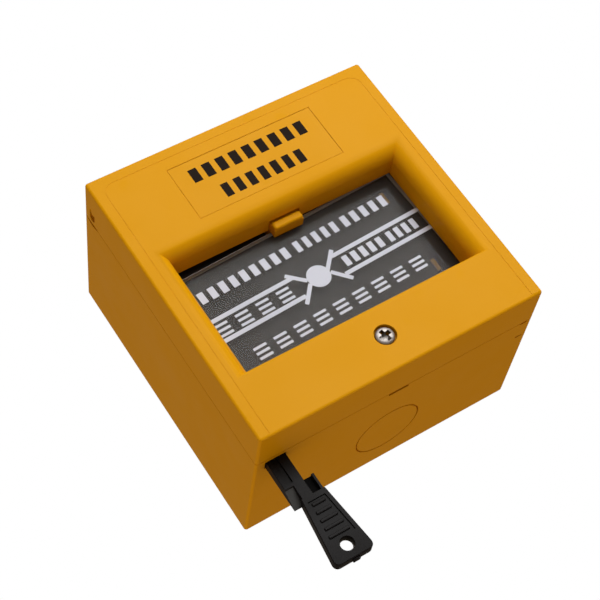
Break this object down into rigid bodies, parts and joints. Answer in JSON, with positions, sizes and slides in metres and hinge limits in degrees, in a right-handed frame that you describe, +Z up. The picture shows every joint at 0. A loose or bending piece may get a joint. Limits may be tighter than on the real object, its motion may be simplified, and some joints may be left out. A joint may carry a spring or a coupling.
{
  "type": "manual_call_point",
  "caption": "Resettable manual call point in an orange-yellow surface box, with a press plate, hinged cover and reset key.",
  "frame": {"origin": "centre of the back face that lies on the wall", "axes": "+X is to the right seen from the front, +Y goes into the wall, +Z is up as the part hangs"},
  "size_m": [0.086, 0.0529, 0.1183],
  "materials": {
    "housing": "satin moulded ABS, fine even texture",
    "label_sheet": "printed polycarbonate label",
    "smoked_plate": "smoked clear acrylic, printed in white",
    "black_plastic": "moulded black plastic",
    "key_plastic": "moulded black plastic, slight sheen",
    "green_plastic": "moulded green terminal plastic",
    "nylon": "natural nylon",
    "plunger_plastic": "moulded red plastic",
    "screw_steel": "bright nickel-plated steel",
    "spring_steel": "spring steel wire and strip",
    "brass_parts": "turned and stamped brass",
    "wire_black": "PVC wire insulation",
    "wire_red": "PVC wire insulation",
    "wire_white": "PVC wire insulation"
  },
  "bodies": {
    "base": {"rear_box": "housing", "chassis": "housing", "chassis_screws": "screw_steel", "hinge_pins": "screw_steel", "guide_screws": "screw_steel", "switch_case": "black_plastic", "switch_blades": "brass_parts", "switch_screws": "screw_steel", "terminal_block": "green_plastic", "terminal_clamps": "brass_parts", "terminal_screws": "screw_steel", "screw_insert": "brass_parts", "lead_common": "wire_black", "lead_open": "wire_red", "lead_closed": "wire_white", "catch_spring": "spring_steel", "plate_spring": "spring_steel"},
    "cover": {"front_cover": "housing", "label_insert": "label_sheet", "cover_screw": "screw_steel", "screw_retainer": "nylon"},
    "plate": {"plate_carrier": "black_plastic", "press_plate": "smoked_plate", "plate_ribs": "housing"},
    "catch": {"catch_slider": "housing"},
    "key": {"reset_key": "key_plastic"},
    "lever": {"switch_lever": "spring_steel"},
    "plunger": {"switch_plunger": "plunger_plastic"}
  },
  "joints": [
    {"name": "cover_swing", "type": "hinge", "parent": "base", "child": "cover", "pos_m": [0, -0.0445, 0.039], "axis": [-1, 0, 0], "range_deg": [0, 95]},
    {"name": "plate_press", "type": "hinge", "parent": "base", "child": "plate", "pos_m": [0, -0.04, -0.0315], "axis": [-1, 0, 0], "range_deg": [0, 4.5], "stiffness_Nm_per_rad": 0.5, "springref_deg": -17.19, "deforming": ["plate_spring"]},
    {"name": "catch_slide", "type": "slide", "parent": "base", "child": "catch", "axis": [0, 0, 1], "range_m": [0, 0.0024], "stiffness_N_per_m": 300, "springref_m": -0.003, "deforming": ["catch_spring"]},
    {"name": "key_withdraw", "type": "slide", "parent": "catch", "child": "key", "axis": [0, 0, -1], "range_m": [0, 0.026]},
    {"name": "lever_swing", "type": "hinge", "parent": "base", "child": "lever", "pos_m": [0.0162, -0.0307, -0.007], "axis": [-1, 0, 0], "range_deg": [0, 14]},
    {"name": "plunger_push", "type": "slide", "parent": "base", "child": "plunger", "axis": [0, 1, 0], "range_m": [0, 0.001]}
  ],
  "couplings": [
    {"joint": "lever_swing", "follows": "plate_press", "ratio": 2.8},
    {"joint": "plunger_push", "follows": "plate_press", "m_per_rad": 0.011}
  ]
}
